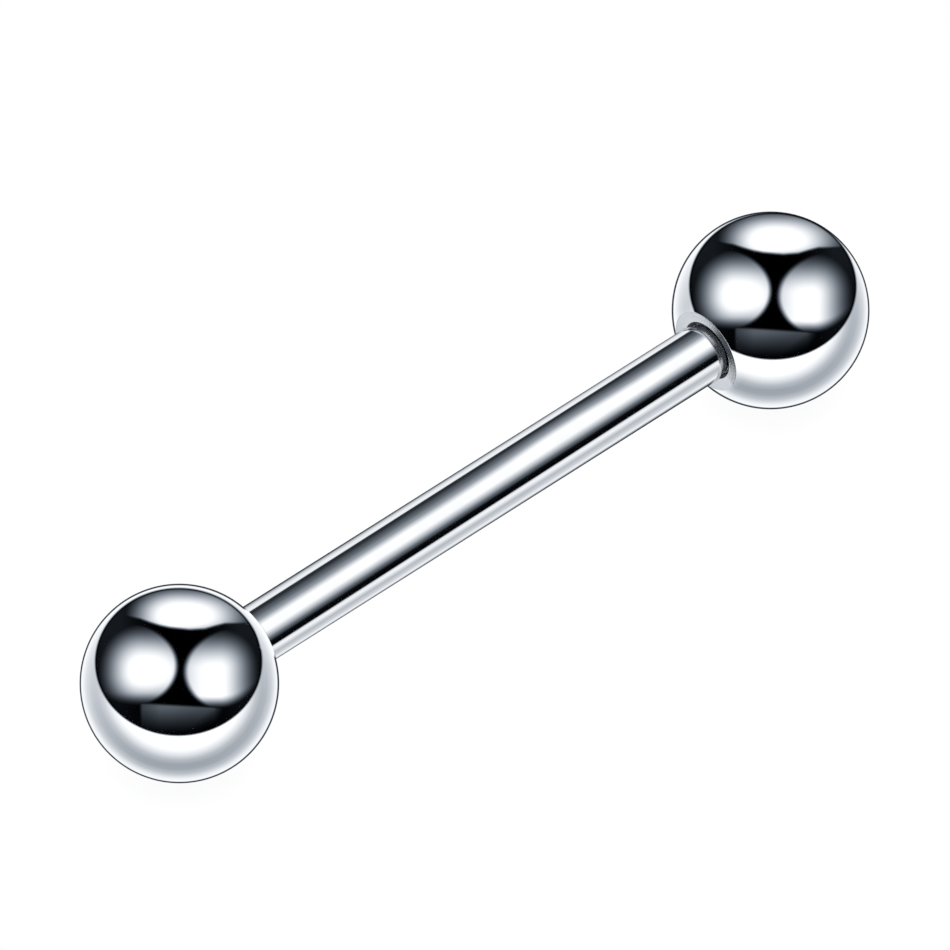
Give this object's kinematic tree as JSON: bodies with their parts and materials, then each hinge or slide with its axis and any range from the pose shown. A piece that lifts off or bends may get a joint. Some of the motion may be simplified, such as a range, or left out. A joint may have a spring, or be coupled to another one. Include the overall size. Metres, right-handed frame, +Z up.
{
  "type": "tongue barbell",
  "caption": "Straight polished steel bar with a threaded stud at each end and a round ball that screws onto each stud, worn in a tongue piercing.",
  "frame": {"origin": "on the surface that both balls rest on, under the middle of the bar", "axes": "+X along the bar towards ball_right, +Z up, +Y away from the viewer of the front"},
  "size_m": [0.026, 0.0052, 0.0051],
  "materials": {
    "bar_steel": "mirror-polished surgical steel, with the threads as cut",
    "ball_steel": "mirror-polished surgical steel"
  },
  "bodies": {
    "bar": {"bar": "bar_steel"},
    "ball_left": {"ball_left": "ball_steel"},
    "ball_right": {"ball_right": "ball_steel"}
  },
  "joints": [
    {"name": "ball_left_unscrew", "type": "slide", "parent": "bar", "child": "ball_left", "axis": [-1, 0, 0], "range_m": [0, 0.006]},
    {"name": "ball_right_unscrew", "type": "slide", "parent": "bar", "child": "ball_right", "axis": [1, 0, 0], "range_m": [0, 0.006]}
  ]
}
